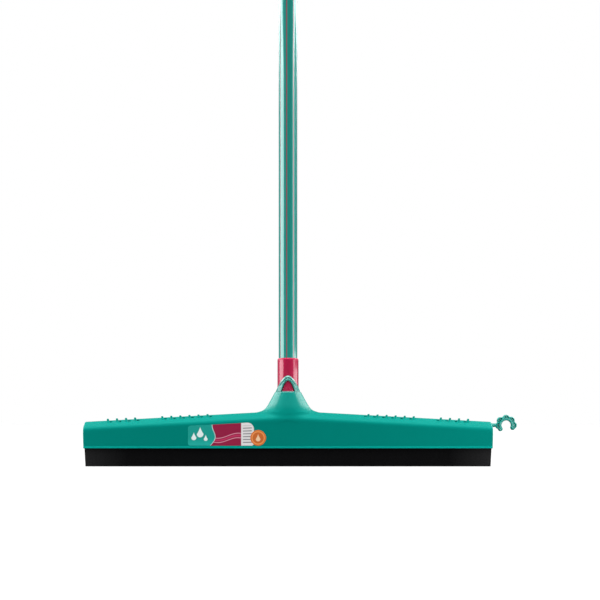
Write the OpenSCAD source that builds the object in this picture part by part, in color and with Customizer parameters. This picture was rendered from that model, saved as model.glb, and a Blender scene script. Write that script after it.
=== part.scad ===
// Floor squeegee: a moulded head with two foam blades, and a handle that screws into it.
// Millimetres. X runs along the head, Y from its front face to its rear face, Z up.
// The origin is on the floor, under the axis of the handle.

/* [Head] */
// Length of the head, end to end
head_length = 420; // [320:5:600]
// Depth of the head, front face to rear face
head_depth = 40; // [38:1:56]
// Height of the head's lower edge over the floor
skirt_z = 18.5; // [12:0.5:26]
// Rise of the crown over the lower edge, at the two ends
end_rise = 27.3; // [25:0.1:36]
// Rise of the crown over the lower edge, on the handle's axis
mid_rise = 38.9; // [36:0.1:48]
// Wall of the moulding
wall = 1.8; // [1.4:0.1:2.4]
// Half the distance between the centres of the crown's two roundings
crown_half = 7; // [4:0.5:9]
// Rounding of the crown
crown_r = 6; // [4:0.5:8]
// Drop from the crown to the centre of the shoulder's rounding
shoulder_drop = 8.5; // [7.5:0.1:11]
// Rounding where the shoulder turns into the front face
shoulder_r = 3; // [2.5:0.1:5]
// Rounding of the upright corners
corner_r = 2.4; // [1:0.1:5]
// Bevel along the top of each end
end_bevel = 1.6; // [0.5:0.1:3]
// Height of the bead along the lower edge
bead_h = 1.4; // [0.8:0.1:2.5]
// How far the bead stands proud
bead_proud = 0.4; // [0.2:0.1:1]

/* [Inside of the head] */
// Distance between the cross ribs
rib_pitch = 23.4; // [18:0.1:40]
// Thickness of the ribs and of the partitions that hold the blades
rib_t = 1.5; // [1:0.1:2.2]
// Recess of the ribs between the partitions from the lower edge
rib_recess = 6; // [3:0.5:10]
// Height of the barbs that bite into the blades
barb_h = 0.8; // [0.4:0.1:1.2]
// Distance between the two barbs of a partition
barb_pitch = 5; // [4:0.5:7]

/* [Neck] */
// Rise of the flared part of the neck over the crown
neck_rise = 18.7; // [16:0.1:30]
// Radius at the top of the flare
neck_r = 13.9; // [13.6:0.1:18]
// Sideways spread of the flare for each millimetre down
flare_side = 0.55; // [0.4:0.01:0.7]
// Forward spread of the flare for each millimetre down
flare_front = 0.2; // [0.1:0.01:0.21]
// Spread that the foot of the flare adds on the crown
bell_w = 2.5; // [1:0.1:5]
// Height over which that spread fades
bell_h = 1.9; // [1:0.1:3]
// Step from the flare to the hood above it
hood_step = 0.15; // [0.1:0.05:0.5]
// Height of the hood's plain foot, under its two tongues
hood_foot = 2.1; // [1.2:0.1:4]
// Rise of the tongues over that foot
tongue_h = 15.3; // [13.5:0.1:22]
// Inward lean of the tongues, from their foot to their tip
tongue_lean = 0.85; // [0.2:0.05:1]
// Curve of the tongues' outline: higher is blunter
tongue_curve = 1.85; // [1.6:0.05:2.6]
// Width of the raised rims on the tongues
rim_w = 1.1; // [0.6:0.1:1.6]
// Depth of the recess between the rims
rim_d = 0.5; // [0.2:0.1:0.8]

/* [Window and lug] */
// Width of the window in each tongue, along its sill
window_w = 14.4; // [10:0.1:16]
// Height of the window
window_h = 11.3; // [8:0.1:12]
// Height of the sill over the top of the flare
sill_rise = 1; // [0.2:0.1:1.2]
// Curve of the window's outline: higher is blunter
window_curve = 2.05; // [1.6:0.05:2.6]
// How far the lug in the window stands proud of the sleeve
lug_proud = 1.2; // [0.6:0.1:1.4]
// Gap between the lug and the sides of its window
lug_gap = 0.7; // [0.3:0.1:1.2]

/* [Cloth teeth] */
// Distance from the axis to the first tooth
tooth_first = 82.6; // [60:0.1:90]
// Distance from tooth to tooth
tooth_pitch = 9.35; // [7.5:0.05:10]
// Teeth in the inner group of each half
inner_teeth = 6; // [2:1:6]
// Teeth left out between the two groups
skipped_teeth = 2; // [1:1:3]
// Teeth in the outer group of each half
outer_teeth = 4; // [1:1:4]
// Distance of the row of teeth in front of the middle plane
tooth_row = 11.5; // [10:0.1:13]
// Rise of the innermost teeth over the crown
tooth_rise = 1.1; // [0.6:0.1:3]
// How much more the outermost teeth rise
tooth_gain = 0.8; // [0:0.1:2]
// Width of a tooth at its foot
tooth_foot = 2.6; // [2:0.1:3.2]
// Width of a tooth at its tip
tooth_tip = 1.1; // [0.8:0.1:1.6]
// Outward lean of the tip
tooth_lean = 0.7; // [0:0.1:1.2]
// Thickness of a tooth, front to rear
tooth_t = 2; // [1.4:0.1:2.6]
// Length of the slot beside each tooth
slot_l = 2.8; // [2:0.1:3.2]
// Width of that slot
slot_w = 2; // [1.2:0.1:2.4]

/* [Side hook] */
// Distance from the end of the head to the centre of the hook's eye
hook_reach = 17.4; // [14:0.1:22]
// Height of the eye's centre under the crown's end
hook_drop = 3.6; // [3.6:0.1:8]
// Radius of the eye
eye_r = 5; // [4:0.1:5.5]
// Radius of the circle that the lobes stand on
lobe_circle = 7.7; // [7.5:0.1:8.2]
// Radius of a lobe
lobe_r = 3.2; // [3.1:0.1:3.6]
// Number of lobes in a full turn
lobe_count = 8; // [6:1:10]
// Thickness of the hook, front to rear
hook_t = 5; // [3:0.1:8]
// Width of the flat band round the eye
eye_band = 1.1; // [0.6:0.1:1.6]
// Depth of the dish in each lobe
dish_d = 1; // [0.4:0.1:1.5]
// Radius of that dish
dish_r = 2; // [1.2:0.1:2.2]
// Angle where the mouth of the hook starts, from the lengthwise direction
mouth_from = 214; // [206:1:235]
// Angle where the mouth ends
mouth_to = 337; // [300:1:342]
// Radius of the hook's two tips
tip_r = 2; // [1.9:0.1:2.4]
// Radius of the stem where it leaves the head
stem_r = 2; // [1.7:0.1:2.4]
// Radius of the stem where it meets the ring
stem_end_r = 1.6; // [1.2:0.1:2]

/* [Blades] */
// Thickness of a foam blade
blade_t = 8; // [5:0.5:10]
// Height of the blade inside the head
blade_seat = 17.5; // [14:0.5:19]
// How far the free part of the blade swells out past its seat, at each end
blade_swell = 1; // [0:0.1:1.5]
// Inward lean of the blade's ends, over its free height
blade_lean = 1; // [0:0.1:3]
// Rounding of the working edges
blade_edge_r = 1; // [0.3:0.1:2]
// Gap between the blade and the end walls
blade_end_fit = 0.2; // [0.1:0.1:1]

/* [Handle socket] */
// Outer diameter of the socket's sleeve
sleeve_d = 22; // [21.8:0.1:23]
// Length of the sleeve that shows above the tongues
sleeve_show = 18.4; // [10:0.1:40]
// Depth of the sleeve's foot under the top of the flare
socket_depth = 16.1; // [13:0.1:17.5]
// Floor of the socket
socket_floor = 2; // [1.2:0.1:4]
// Drain hole in that floor
drain_r = 3; // [1:0.1:5]
// Rounding of the sleeve's mouth
mouth_r = 0.8; // [0.3:0.1:1]
// Depth to which the tube goes into the sleeve
guide_depth = 21.9; // [15:0.1:25]
// Radial gap between the sleeve and the neck
socket_fit = 0.1; // [0.05:0.01:0.2]

/* [Handle] */
// Outer diameter of the steel tube
tube_d = 19.05; // [18.6:0.01:19.2]
// Wall of the tube
tube_wall = 0.5; // [0.3:0.05:1]
// Length of the tube
tube_length = 1160; // [600:5:1500]
// Thickness of the printed film on the tube
film_t = 0.15; // [0.1:0.01:0.2]
// How much thinner the film is pressed where it enters the sleeve
film_tuck = 0.05; // [0.02:0.01:0.08]
// Length over which the film comes to its full thickness above the sleeve
film_ease = 2; // [1:0.5:10]
// Radial gap of the handle in the sleeve
guide_fit = 0.1; // [0.05:0.01:0.2]
// Radial gap of the film, the plug and the cap on the tube
tube_fit = 0.03; // [0.01:0.01:0.1]

/* [Threaded plug] */
// Outer diameter of the thread
thread_d = 16; // [14:0.1:16.5]
// Length of the thread
thread_l = 24; // [16:0.5:25]
// Radial gap of the thread in the socket
thread_fit = 0.1; // [0.05:0.01:0.3]
// Thickness of the plug's flange, which the tube stands on
flange_t = 2; // [1:0.1:4]
// Length of the plug inside the tube
plug_grip = 30; // [15:1:60]
// Bevel at the tip of the thread
plug_bevel = 2; // [0.5:0.1:4]

/* [Hanging cap] */
// Diameter of the cap
cap_d = 19; // [18:0.1:19]
// Length of the cap inside the tube
cap_grip = 22; // [10:1:40]
// Height of the cap's round collar
cap_collar = 5; // [2:0.1:8]
// Height of the cap over its collar
cap_h = 22; // [18:0.1:30]
// Thickness of the flattened eye
cap_eye_t = 10; // [7:0.1:14]
// Radius of the hanging hole
hang_r = 4; // [3:0.1:5]

/* [Hidden] */
$fn = 64;

far = 200;
eps = 0.01;
profile_fn = 32;
loft_sides = 48;
arch_steps = 14;

half_length = head_length / 2;
half_depth = head_depth / 2;
crown_mid_z = skirt_z + mid_rise;
crown_end_z = skirt_z + end_rise;
roof_tilt = atan((mid_rise - end_rise) / half_length);
neck_z = crown_mid_z + neck_rise;
tongue_foot_z = neck_z + hood_foot;
tongue_z = tongue_foot_z + tongue_h;
sleeve_z = tongue_z + sleeve_show;
sill_z = neck_z + sill_rise;
hood_r = neck_r - hood_step;
sleeve_r = sleeve_d / 2;
neck_bore_r = sleeve_r + socket_fit;
socket_z = neck_z - socket_depth;
ledge_z = sleeve_z - guide_depth;
tube_z = ledge_z + flange_t;
tube_r = tube_d / 2;
bare_r = tube_r - tube_wall;
film_r = tube_r + tube_fit + film_t;
guide_r = film_r + guide_fit;
thread_r = thread_d / 2;
cap_z = tube_z + tube_length;
blade_z = skirt_z + blade_seat;
blade_y = half_depth - wall - blade_t;
partition_y = blade_y - rib_t;
blade_l = head_length - 2 * (wall + blade_end_fit);
hook_x = half_length + hook_reach;
hook_z = crown_end_z - hook_drop;
ring_r = lobe_circle + lobe_r / 4;
tooth_spots = inner_teeth + skipped_teeth + outer_teeth;
tooth_ranks = [
    for (k = [0:tooth_spots - 1]) if (k < inner_teeth || k >= inner_teeth + skipped_teeth) k
];

// Height of the crown at a distance x from the axis
function crown_z(x) = crown_mid_z - abs(x) * tan(roof_tilt);

// Direction of the shoulder's slope: the common tangent of the two roundings
shoulder_run = half_depth - shoulder_r - crown_half;
shoulder_fall = crown_r - shoulder_drop;
shoulder_n = atan2(shoulder_fall, shoulder_run)
    + acos((crown_r - shoulder_r) / norm([shoulder_run, shoulder_fall]));

// Height of the shoulder's slope against the crown, at a distance y from the middle plane
function shoulder_z(y) = (crown_r + (crown_half - y) * cos(shoulder_n)) / sin(shoulder_n)
    - crown_r;

// Half widths of the neck at a height z: sideways with its bell foot, and forward
function neck_side(z) = neck_r + flare_side * (neck_z - z)
    + bell_w * exp((crown_mid_z - max(z, crown_mid_z - bell_h * 0.75)) / bell_h);
function neck_front(z) = neck_r + flare_front * (neck_z - z);

// One elliptical ring of the neck, inset by a wall
function neck_ring(z, inset) = [
    for (i = [0:loft_sides - 1])
        let (turn = 360 * i / loft_sides)
        [(neck_side(z) - inset) * cos(turn), (neck_front(z) - inset) * sin(turn), z]
];

// Outline of a pointed arch that stands on the origin
function arch(half_w, h, curve) = [
    for (i = [-arch_steps:arch_steps])
        let (s = i / arch_steps)
        [s * half_w, h * (1 - pow(abs(s), curve))]
];

// Closed skin through rings of points, from the lowest ring to the highest
module loft(rings) {
    n = len(rings[0]);
    last = len(rings) - 1;
    polyhedron(
        points = [for (ring = rings) each ring],
        faces = concat(
            [[for (i = [0:n - 1]) i]],
            [[for (i = [n - 1:-1:0]) last * n + i]],
            [for (k = [0:last - 1], i = [0:n - 1])
                [k * n + i, (k + 1) * n + i, (k + 1) * n + (i + 1) % n]],
            [for (k = [0:last - 1], i = [0:n - 1])
                [k * n + i, (k + 1) * n + (i + 1) % n, k * n + (i + 1) % n]]
        )
    );
}

// Flat shape in X and Z, drawn out along Y from y0 to y1
module along_y(y0, y1) {
    translate([0, y1, 0]) rotate([90, 0, 0]) linear_extrude(y1 - y0) children();
}

// Flat shape in Y and Z, drawn out along X over a length, centred
module along_x(length) {
    rotate([90, 0, 90]) linear_extrude(length, center = true) children();
}

module rounded_rect(length, width, r) {
    square([length - 2 * r, width], center = true);
    square([length, width - 2 * r], center = true);
    for (sx = [-1, 1], sy = [-1, 1])
        translate([sx * (length / 2 - r), sy * (width / 2 - r)]) circle(r);
}

// Cross-section of the head under its crown, inset by a wall
module roof_profile(inset) {
    hull() {
        for (side = [-1, 1]) {
            translate([side * crown_half, -crown_r])
                circle(crown_r - inset, $fn = profile_fn);
            translate([side * (half_depth - shoulder_r), -shoulder_drop])
                circle(shoulder_r - inset, $fn = profile_fn);
            translate([side * (half_depth - inset), -far]) square(eps, center = true);
        }
    }
}

// Half of the roof, which falls from the axis to one end
module roof_half(side, inset) {
    intersection() {
        translate([0, 0, crown_mid_z]) rotate([0, side * roof_tilt, 0])
            along_x(2 * head_length) roof_profile(inset);
        translate([side < 0 ? -head_length : 0, -head_depth, skirt_z - far / 2])
            cube([head_length, 2 * head_depth, far]);
    }
}

// Body of the head, inset by a wall and open below from a height z0
module head_body(inset, z0) {
    intersection() {
        union() {
            roof_half(1, inset);
            roof_half(-1, inset);
        }
        translate([0, 0, z0]) linear_extrude(far)
            rounded_rect(head_length - 2 * inset, 2 * half_depth - 2 * inset,
                max(corner_r - inset, 0.3));
    }
}

// Bevel along the top edge of each end
module end_bevels() {
    for (side = [-1, 1])
        translate([side * half_length, 0, crown_end_z])
            rotate([0, 45, 0])
                cube([end_bevel * sqrt(2), 2 * head_depth, end_bevel * sqrt(2)], center = true);
}

module bead() {
    translate([0, 0, skirt_z]) linear_extrude(bead_h)
        rounded_rect(head_length + 2 * bead_proud, head_depth + 2 * bead_proud,
            corner_r + bead_proud);
}

// Flared part of the neck, from inside the head to the hood, inset by a wall
module neck_flare(inset, z1) {
    foot = crown_mid_z - shoulder_drop;
    step = (crown_mid_z - foot) / 4;
    rise = z1 - crown_mid_z;
    loft(concat(
        [for (k = [0:3]) neck_ring(foot + k * step, inset)],
        [for (k = [0:8]) neck_ring(crown_mid_z + rise * pow(k / 8, 1.6), inset)]
    ));
}

// Hood over the flare, with a tongue at the front and at the rear
module hood() {
    sunk = socket_depth / 4;
    intersection() {
        union() {
            translate([0, 0, tongue_foot_z])
                cylinder(r1 = hood_r, r2 = hood_r - tongue_lean, h = tongue_h);
            translate([0, 0, neck_z - sunk]) cylinder(r = hood_r, h = sunk + hood_foot + eps);
        }
        along_y(-far, far) union() {
            translate([0, tongue_foot_z]) polygon(arch(hood_r + eps, tongue_h, tongue_curve));
            translate([-hood_r - 1, neck_z - sunk])
                square([2 * hood_r + 2, sunk + hood_foot + eps]);
        }
    }
}

module window_outline(grow) {
    translate([0, sill_z - grow])
        polygon(arch(window_w / 2 + grow, window_h + 2 * grow, window_curve));
}

// Recess in a tongue, between the rim of its outline and the rim of its window
module tongue_recess() {
    difference() {
        along_y(-far, far) difference() {
            translate([0, tongue_foot_z])
                polygon(arch(hood_r - rim_w, tongue_h - 1.5 * rim_w, tongue_curve));
            window_outline(rim_w);
            translate([-far / 2, tongue_foot_z - far]) square([far, far + tongue_h / 3]);
        }
        translate([0, 0, tongue_foot_z])
            cylinder(r1 = hood_r - rim_d, r2 = hood_r - tongue_lean - rim_d, h = tongue_h);
    }
}

// The two places of the cloth teeth of a rank, counted from the axis, on the front shoulder
module at_teeth(rank) {
    x = tooth_first + rank * tooth_pitch;
    for (side = [-1, 1])
        translate([side * x, -tooth_row, crown_z(x)])
            mirror([side < 0 ? 1 : 0, 0, 0]) children();
}

// One tooth: a thorn that leans towards the end of the head, rooted in the wall
module tooth(rise) {
    root = shoulder_z(tooth_row) - wall / 2;
    along_y(-tooth_t / 2, tooth_t / 2) polygon([
        [-tooth_foot / 2, root], [tooth_foot / 2, root],
        [tooth_tip / 2 + tooth_lean, rise], [tooth_lean - tooth_tip / 2, rise]
    ]);
}

// Slot through the roof on the inner side of a tooth
module tooth_slot() {
    translate([-tooth_foot / 2 - slot_l, -slot_w / 2, shoulder_z(tooth_row) - 3 * wall])
        cube([slot_l, slot_w, far]);
}

// Tube in the head that takes the socket's sleeve, closed below by a seat
module socket_tube() {
    translate([0, 0, socket_z - wall])
        cylinder(r = neck_bore_r + wall, h = neck_z - socket_z + wall);
}

module neck_bore() {
    translate([0, 0, socket_z]) cylinder(r = neck_bore_r, h = far);
    translate([0, 0, socket_z - 2 * wall]) cylinder(r = drain_r, h = far);
}

// The two barbs of a partition: ridges along the head that bite into the blade
module barbs(side) {
    middle = skirt_z + blade_seat / 2;
    along_x(blade_l) for (z = [middle - barb_pitch / 2, middle + barb_pitch / 2])
        polygon([
            [side * (blade_y - eps), z - barb_h], [side * (blade_y + barb_h), z + barb_h / 2],
            [side * (blade_y - eps), z + barb_h]
        ]);
}

// Partitions, barbs and cross ribs inside the head
module inner_walls() {
    ribs = floor((half_length - 2 * wall) / rib_pitch);
    for (side = [-1, 1]) {
        translate([-half_length, side < 0 ? -blade_y : partition_y, skirt_z + rib_recess / 2])
            cube([head_length, rib_t, far]);
        barbs(side);
    }
    for (side = [-1, 1], k = [1:ribs])
        translate([side * k * rib_pitch - rib_t / 2, 0, 0]) {
            translate([0, -half_depth, blade_z]) cube([rib_t, head_depth, far]);
            translate([0, -blade_y, skirt_z + rib_recess]) cube([rib_t, 2 * blade_y, far]);
        }
}

// Cross of ribs between the socket tube and the skin of the neck
module neck_ribs() {
    translate([-half_length / 2, -rib_t / 2, blade_z]) cube([half_length, rib_t, far]);
    translate([-rib_t / 2, -half_depth, blade_z]) cube([rib_t, head_depth, far]);
}

// Hollow of the head: its body and neck less everything that stands inside them
module hollow() {
    difference() {
        union() {
            head_body(wall, skirt_z - far / 2);
            neck_flare(wall, neck_z - 2 * wall);
        }
        socket_tube();
        inner_walls();
        neck_ribs();
    }
}

module head_shell() {
    color("#00a094") {
        difference() {
            union() {
                difference() {
                    head_body(0, skirt_z);
                    end_bevels();
                }
                bead();
                neck_flare(0, neck_z);
                hood();
                for (rank = tooth_ranks)
                    at_teeth(rank) tooth(tooth_rise + tooth_gain * rank / (tooth_spots - 1));
            }
            hollow();
            neck_bore();
            along_y(-far, far) window_outline(0);
            tongue_recess();
            for (rank = tooth_ranks) at_teeth(rank) tooth_slot();
        }
    }
}

// Outline of the hook: an open ring with round tips, and lobes where a whole one has room
module hook_outline() {
    lobe_turn = 360 / lobe_count;
    lobe_spread = asin(lobe_r / lobe_circle);
    difference() {
        union() {
            difference() {
                circle(ring_r);
                polygon([
                    [0, 0],
                    for (turn = [mouth_from, (mouth_from + mouth_to) / 2, mouth_to])
                        2 * hook_reach * [cos(turn), sin(turn)]
                ]);
            }
            for (turn = [mouth_from, mouth_to])
                rotate(turn) translate([(eye_r + ring_r) / 2, 0]) circle(tip_r);
            for (turn = [0:lobe_turn:mouth_from - lobe_spread])
                rotate(turn) translate([lobe_circle, 0]) circle(lobe_r);
        }
        circle(eye_r);
    }
}

// Dishes in the lobes, which leave a band round the eye and a thin rim
module hook_dishes() {
    lobe_turn = 360 / lobe_count;
    lobe_spread = asin(lobe_r / lobe_circle);
    difference() {
        for (turn = [0:lobe_turn:mouth_from - lobe_spread])
            rotate(turn) translate([lobe_circle, 0]) circle(dish_r);
        circle(eye_r + eye_band);
    }
}

// Hook with a scalloped outline on a short stem, in the middle plane of the head
module side_hook() {
    color("#00a094") {
        translate([hook_x, 0, hook_z]) difference() {
            along_y(-hook_t / 2, hook_t / 2) hook_outline();
            along_y(-hook_t, dish_d - hook_t / 2) hook_dishes();
        }
        translate([half_length, 0, hook_z]) rotate([0, 90, 0])
            cylinder(r1 = stem_r, r2 = stem_end_r, h = hook_reach - lobe_circle - (lobe_r + dish_r) / 2);
    }
}

// Foam strip on one side of the head, from its seat to the floor
module blade(side) {
    mid = side * (blade_y + blade_t / 2);
    free_l = blade_l + 2 * blade_swell;
    color("#1b1b1c") difference() {
        intersection() {
            along_x(head_length) union() {
                translate([mid - blade_t / 2, blade_edge_r])
                    square([blade_t, blade_z - blade_edge_r]);
                translate([mid - blade_t / 2 + blade_edge_r, 0])
                    square([blade_t - 2 * blade_edge_r, blade_edge_r + eps]);
                for (edge = [-1, 1])
                    translate([mid + edge * (blade_t / 2 - blade_edge_r), blade_edge_r])
                        circle(blade_edge_r);
            }
            along_y(-head_depth, head_depth) polygon([
                [blade_lean - free_l / 2, 0], [free_l / 2 - blade_lean, 0],
                [free_l / 2, skirt_z], [blade_l / 2, skirt_z], [blade_l / 2, blade_z],
                [-blade_l / 2, blade_z], [-blade_l / 2, skirt_z], [-free_l / 2, skirt_z]
            ]);
        }
        barbs(side);
    }
}

module front_blade() {
    blade(-1);
}

module rear_blade() {
    blade(1);
}

// Lugs on the sleeve that stand in the two windows and rest on their sills
module lugs() {
    difference() {
        intersection() {
            translate([0, 0, sill_z]) cylinder(r = sleeve_r + lug_proud, h = window_h);
            along_y(-far, far) translate([0, sill_z])
                polygon(arch(window_w / 2 - lug_gap, window_h - lug_gap, window_curve));
        }
        translate([0, 0, sill_z - 1]) cylinder(r = sleeve_r - eps, h = window_h + 2);
    }
}

module socket_insert() {
    length = sleeve_z - socket_z;
    color("#cb0d4e") {
        translate([0, 0, socket_z]) rotate_extrude() difference() {
            union() {
                square([sleeve_r, length - mouth_r]);
                square([sleeve_r - mouth_r, length]);
                translate([sleeve_r - mouth_r, length - mouth_r]) circle(mouth_r);
            }
            translate([-1, ledge_z - socket_z]) square([guide_r + 1, length]);
            translate([-1, socket_floor]) square([thread_r + thread_fit + 1, length]);
            translate([-1, -1]) square([drain_r + 1, length]);
        }
        lugs();
    }
}

module threaded_plug() {
    color("#2a2a2c") rotate_extrude() {
        translate([0, ledge_z - thread_l]) polygon([
            [0, 0], [thread_r - plug_bevel / 2, 0], [thread_r, plug_bevel],
            [thread_r, thread_l + eps], [0, thread_l + eps]
        ]);
        translate([0, ledge_z]) square([tube_r, flange_t]);
        translate([0, tube_z - eps]) square([bare_r - tube_fit, plug_grip + eps]);
    }
}

module handle_tube() {
    color("silver") translate([0, 0, tube_z]) difference() {
        cylinder(r = tube_r, h = tube_length);
        translate([0, 0, -1]) cylinder(r = bare_r, h = tube_length + 2);
    }
}

// Printed film over the tube, pressed thinner over the stretch inside the sleeve
module handle_film() {
    inner = tube_r + tube_fit;
    tucked = film_r - film_tuck;
    color("#08a394") rotate_extrude() polygon([
        [inner, tube_z], [tucked, tube_z], [tucked, sleeve_z],
        [film_r, sleeve_z + film_ease], [film_r, cap_z], [inner, cap_z]
    ]);
}

// Cap in the tube's upper end, flattened to an eye with a hole to hang the handle by
module hang_cap() {
    cap_r = cap_d / 2;
    eye_z = cap_z + cap_collar + cap_h - cap_r;
    color("#cb0d4e") difference() {
        union() {
            translate([0, 0, cap_z - cap_grip])
                cylinder(r = bare_r - tube_fit, h = cap_grip + eps);
            translate([0, 0, cap_z]) cylinder(r = cap_r, h = cap_collar);
            intersection() {
                translate([0, 0, cap_z]) cylinder(r = cap_r, h = cap_collar + cap_h);
                along_y(-cap_eye_t / 2, cap_eye_t / 2) union() {
                    translate([-cap_r, cap_z]) square([cap_d, eye_z - cap_z]);
                    translate([0, eye_z]) circle(cap_r);
                }
            }
        }
        along_y(-far, far) translate([0, eye_z]) circle(hang_r);
    }
}

head_shell();
side_hook();
front_blade();
rear_blade();
socket_insert();
threaded_plug();
handle_tube();
handle_film();
hang_cap();
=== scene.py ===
"""Floor squeegee dressed for the camera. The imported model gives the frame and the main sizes. The
surfaces are worked out in millimetres with numpy, and go into the meshes in metres."""

import bmesh
import bpy
import numpy as np
from mathutils import Matrix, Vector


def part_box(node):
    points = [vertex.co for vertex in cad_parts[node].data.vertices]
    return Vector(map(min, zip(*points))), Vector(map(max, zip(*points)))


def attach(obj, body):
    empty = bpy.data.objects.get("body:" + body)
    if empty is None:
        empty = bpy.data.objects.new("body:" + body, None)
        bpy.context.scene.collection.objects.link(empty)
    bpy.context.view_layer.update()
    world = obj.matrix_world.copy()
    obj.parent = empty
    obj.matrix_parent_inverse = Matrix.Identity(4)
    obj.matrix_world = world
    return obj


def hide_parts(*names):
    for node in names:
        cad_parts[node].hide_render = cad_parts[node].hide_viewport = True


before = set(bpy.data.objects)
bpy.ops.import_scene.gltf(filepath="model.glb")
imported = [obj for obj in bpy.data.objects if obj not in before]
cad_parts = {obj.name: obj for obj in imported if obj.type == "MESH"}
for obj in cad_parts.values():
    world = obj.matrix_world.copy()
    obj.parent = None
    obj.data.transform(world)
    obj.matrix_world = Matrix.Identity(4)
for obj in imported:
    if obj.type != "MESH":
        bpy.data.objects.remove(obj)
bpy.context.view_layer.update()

MM = 0.001
join = np.concatenate
QUARTER = np.pi / 2
# step for slopes that are measured by small differences
SMALL = 1e-4


def node_box(node):
    """Lowest and highest corner of a CAD node, in millimetres."""
    return [np.array(corner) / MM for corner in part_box(node)]


# Sizes of the pieces, in millimetres
head_low, head_high = node_box("head_shell")
insert_low, insert_high = node_box("socket_insert")
film_low, film_high = node_box("handle_film")
tube_high = node_box("handle_tube")[1]
plug_low, plug_high = node_box("threaded_plug")
cap_low, cap_high = node_box("hang_cap")
hook_low, hook_high = node_box("side_hook")
blade_low = node_box("rear_blade")[0]

BEAD_PROUD = 0.4
HALF_LENGTH = head_high[0] - BEAD_PROUD
HALF_DEPTH = head_high[1] - BEAD_PROUD
SKIRT_Z = head_low[2]
WALL = 1.8
CORNER = 1.0

# cross-section of the head
CROWN_Z = SKIRT_Z + 38.9
CROWN_FALL = 11.6 / HALF_LENGTH
RIDGE_EASE = 8.0
CROWN_HALF = 8.66
SHOULDER_TURN = np.radians(61.5)
CROWN_SOFT, SHOULDER_SOFT = 0.87, 3.2
FACE_TOP, FACE_FOOT = -14.0, SKIRT_Z + 2.0
# mark for rows below the face, where the unrolled skin ends
OFF_SKIN = 99.0

# neck and hood
TONGUE_Z = head_high[2]
NECK_Z = TONGUE_Z - 17.4
TONGUE_FOOT = NECK_Z + 2.1
NECK_R, HOOD_R, BORE_R = 13.9, 13.75, 11.1
FLARE_SIDE, FLARE_FRONT = 0.55, 0.236
FRONT_LIMIT, FRONT_SOFT = 19.6, 1.0
BELL_W, BELL_H = 2.5, 1.9
BELL_STOP = CROWN_Z - 0.75 * BELL_H
FADE_Z, FADE_SLOPE = CROWN_Z - 9.0, 0.35
NECK_BLEND = np.array([1.2, 2.8])
PATCH_X, PATCH_DROP = 51.0, -12.5
TONGUE_LEAN, TONGUE_CURVE = 0.85, 1.85
WINDOW_HALF, WINDOW_H, WINDOW_CURVE = 7.2, 11.3, 2.05
SILL_Z = NECK_Z + 1.0
# how far what stands on the sill is let into it
SUNK = 0.3
HOOD_EDGE, WINDOW_EDGE, BACK_EDGE = 1.4, 0.4, 0.5
RECESS = 0.45
# where the recess begins and where it is full, from the window, the rim and the tongue's foot
RECESS_IN, RECESS_OUT, RECESS_RISE = (1.3, 2.1), (1.5, 2.5), np.array([2.5, 6.5])

# cloth teeth and ribs
TOOTH_FIRST, TOOTH_PITCH, TOOTH_ROW = 82.6, 9.35, 11.5
TOOTH_SPOTS = np.array([0, 1, 2, 3, 4, 5, 8, 9, 10, 11])
TOOTH_RISE, TOOTH_GAIN, TOOTH_ROOT = 1.1, 0.8, 1.0
TOOTH_FOOT, TOOTH_TIP, TOOTH_LEAN, TOOTH_T = 2.7, 2.2, 0.7, 2.0
# shares of a tooth's height: where its tip begins to round, and how high its foot is swollen
TOOTH_DOME, TOOTH_HEEL = 0.86, 0.24
TOOTH_SWELL = 0.4
SLOT_L, SLOT_W, SLOT_DEEP = 2.8, 2.0, 3.0
tooth_x = TOOTH_FIRST + TOOTH_PITCH * TOOTH_SPOTS
tooth_top = TOOTH_RISE + TOOTH_GAIN * TOOTH_SPOTS / TOOTH_SPOTS[-1]
slot_x = tooth_x - TOOTH_FOOT / 2 - SLOT_L / 2
RIB_PITCH, RIB_T = 23.4, 1.5
SINK_DEEP, SINK_WIDE = 0.035, 1.3
rib_x = RIB_PITCH * np.arange(1, 9)

# hook
HOOK_EYE, HOOK_MID, HOOK_RING, HOOK_REACH = 5.0, 6.75, 9.4, 10.9
HOOK_EDGE = 1.1
TIP_R, TIP_FLARE, TIP_BLEND = 2.0, 0.15, 0.35
LOBE_R, LOBE_SOFT = 3.7, 0.5
DISH_DEEP = 1.3
# where the dishes' walls begin and end, from a lobe's middle and from the eye's
DISH_WALL, DISH_INNER = (2.8, 2.3), (7.5, 8.1)
STEM_R, STEM_TAPER = 2.2, 0.4
MOUTH = np.radians([-23.0, 214.0])
LOBES = np.stack([np.radians([0, 46, 90, 141, 183]), [7.2, 7.2, 7.2, 7.6, 7.5]], axis=1)

# blades
BLADE_GAP, BLADE_CUT = 0.05, 0.5
BLADE_LEAN, BLADE_SWELL = 1.0, 1.0

# socket and handle
SLEEVE_R, SLEEVE_Z = insert_high[0], insert_high[2]
MOUTH_R = 2.2
LUG_GAP, LUG_PROUD, LUG_CENTRE = 0.5, 1.2, 3.6
FILM_R, FILM_T, FILM_TUCK, FILM_EASE = film_high[0], 0.15, 0.05, 2
TUBE_Z, CAP_Z = film_low[2], film_high[2]
LEDGE_Z = TUBE_Z - 2
THREAD_PITCH, THREAD_CORE, THREAD_RISE, THREAD_RUN = 5.0, 7.0, 1.0, 2
TUBE_T = 0.55

# stickers
STICKER_T = 0.07
LABEL = np.array([-102.5, -34.9])
LABEL_FOOT, LABEL_UNDER, LABEL_H = SKIRT_Z + 2.8, 10.2, 21.0
LABEL_CORNER, LABEL_SWEEP = 2.4, 7.0
SEAL, SEAL_R = np.array([-30.6, 29.3]), 8.05


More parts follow.
